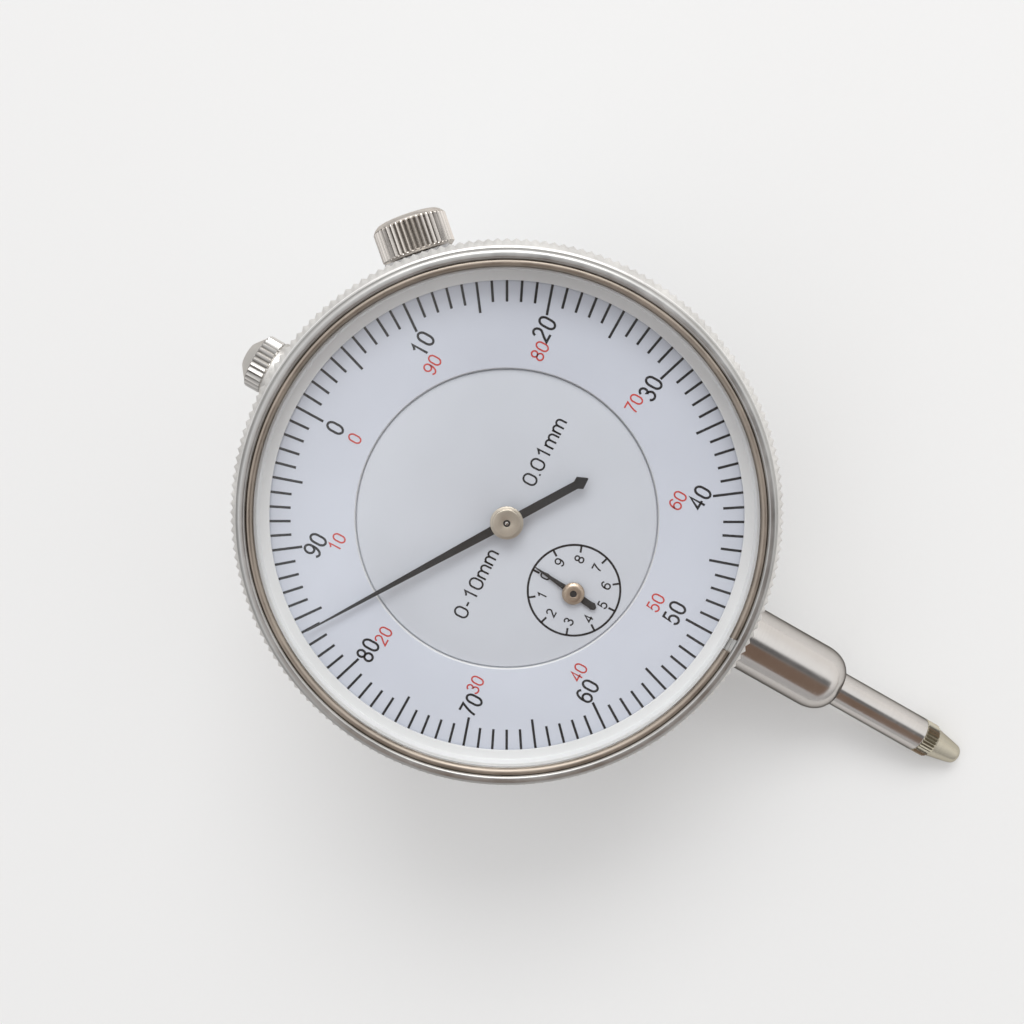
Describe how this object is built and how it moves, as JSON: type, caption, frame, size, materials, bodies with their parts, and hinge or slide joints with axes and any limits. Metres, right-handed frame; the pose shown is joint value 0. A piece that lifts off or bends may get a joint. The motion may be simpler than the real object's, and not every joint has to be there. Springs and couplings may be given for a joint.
{
  "type": "dial indicator",
  "caption": "Round dial indicator with a rotating knurled bezel, a bezel clamp, a sprung plunger in a short stem and a lug on its back.",
  "frame": {"origin": "the middle of the flat end of the rear lug, straight behind the centre of the dial", "axes": "+Z out of the dial's face, +Y towards 12 o'clock so that the stem points along -Y, +X towards 3 o'clock"},
  "size_m": [0.0584, 0.0991, 0.0385],
  "materials": {
    "case_paint": "satin grey paint with a fine orange peel",
    "stem_steel": "ground and polished stainless steel",
    "screw_steel": "turned steel",
    "arbor_steel": "polished steel",
    "spring_steel": "tempered spring wire, slightly brown",
    "nickel": "turned and nickel plated, slightly yellow",
    "plated_knob": "satin plating over a straight knurl",
    "bronze": "turned bronze",
    "movement_brass": "rolled brass sheet, brushed",
    "pointer_black": "satin black",
    "dial_white": "satin white with printed marks",
    "disc_white": "satin white with a printed counter dial",
    "ring_white": "smooth white ring",
    "crystal": "clear, polished",
    "bezel_metal": "turned and polished, fine straight knurl"
  },
  "bodies": {
    "case": {"case": "case_paint", "rear_cover": "case_paint", "cover_screw_1": "screw_steel", "cover_screw_2": "screw_steel", "cover_screw_3": "screw_steel", "cover_screw_4": "screw_steel", "stem": "stem_steel", "lower_bush": "bronze", "upper_bush": "bronze", "guide_rail": "movement_brass", "guide_screw_1": "screw_steel", "guide_screw_2": "screw_steel", "spring_post": "arbor_steel", "return_spring": "spring_steel", "movement_back_plate": "movement_brass", "movement_bridge": "movement_brass", "movement_front_plate": "movement_brass", "back_pillar_1": "movement_brass", "back_pillar_2": "movement_brass", "back_pillar_3": "movement_brass", "front_pillar_1": "movement_brass", "front_pillar_2": "movement_brass", "front_pillar_3": "movement_brass", "movement_screw_1": "screw_steel", "movement_screw_2": "screw_steel", "movement_screw_3": "screw_steel", "hairspring": "spring_steel", "hairspring_stud": "movement_brass", "inner_dial": "disc_white", "bezel_snap_ring": "spring_steel"},
    "spindle": {"spindle": "stem_steel", "contact_point": "nickel", "lifting_cap": "plated_knob", "guide_pin": "arbor_steel"},
    "counter_train": {"counter_arbor": "arbor_steel", "counter_gear": "movement_brass", "counter_hub": "bronze", "counter_pointer": "pointer_black"},
    "pointer_train": {"centre_arbor": "arbor_steel", "pointer_hub": "nickel", "main_pointer": "pointer_black"},
    "takeup_train": {"takeup_arbor": "arbor_steel", "takeup_gear": "movement_brass", "hairspring_collet": "movement_brass"},
    "bezel": {"bezel": "bezel_metal", "outer_dial": "dial_white", "crystal_seat_ring": "ring_white", "crystal": "crystal", "crystal_retaining_wire": "spring_steel"},
    "clamp_shoe": {"clamp_shoe": "arbor_steel"},
    "clamp_screw": {"clamp_screw": "plated_knob"}
  },
  "joints": [
    {"name": "spindle_slide", "type": "slide", "parent": "case", "child": "spindle", "axis": [0, 1, 0], "range_m": [0, 0.01], "stiffness_N_per_m": 40, "springref_m": -0.015, "deforming": ["return_spring"]},
    {"name": "counter_turn", "type": "hinge", "parent": "case", "child": "counter_train", "pos_m": [-0.0032, -0.00993, 0.0348], "axis": [0, 0, 1], "range_deg": [-1, 361]},
    {"name": "pointer_turn", "type": "hinge", "parent": "case", "child": "pointer_train", "pos_m": [0, 0, 0.0348], "axis": [0, 0, 1], "range_deg": [-3610, 10]},
    {"name": "takeup_turn", "type": "hinge", "parent": "case", "child": "takeup_train", "pos_m": [0.0032, 0.00993, 0.025], "axis": [0, 0, 1], "range_deg": [-1, 361], "deforming": ["hairspring"]},
    {"name": "bezel_turn", "type": "hinge", "parent": "case", "child": "bezel", "pos_m": [0, 0, 0.0348], "axis": [0, 0, 1], "continuous": true},
    {"name": "clamp_shoe_slide", "type": "slide", "parent": "case", "child": "clamp_shoe", "axis": [-0.6613, -0.7501, 0], "range_m": [-0.0005, 0.00025]},
    {"name": "clamp_screw_turn", "type": "hinge", "parent": "clamp_shoe", "child": "clamp_screw", "pos_m": [0.01984, 0.0225, 0.0248], "axis": [-0.6613, -0.7501, 0], "range_deg": [-362, 182]}
  ],
  "couplings": [
    {"joint": "counter_turn", "follows": "spindle_slide", "rad_per_m": 628.32},
    {"joint": "pointer_turn", "follows": "spindle_slide", "rad_per_m": -6283.2},
    {"joint": "takeup_turn", "follows": "spindle_slide", "rad_per_m": 628.32},
    {"joint": "clamp_screw_turn", "follows": "clamp_shoe_slide", "rad_per_m": 12566}
  ]
}
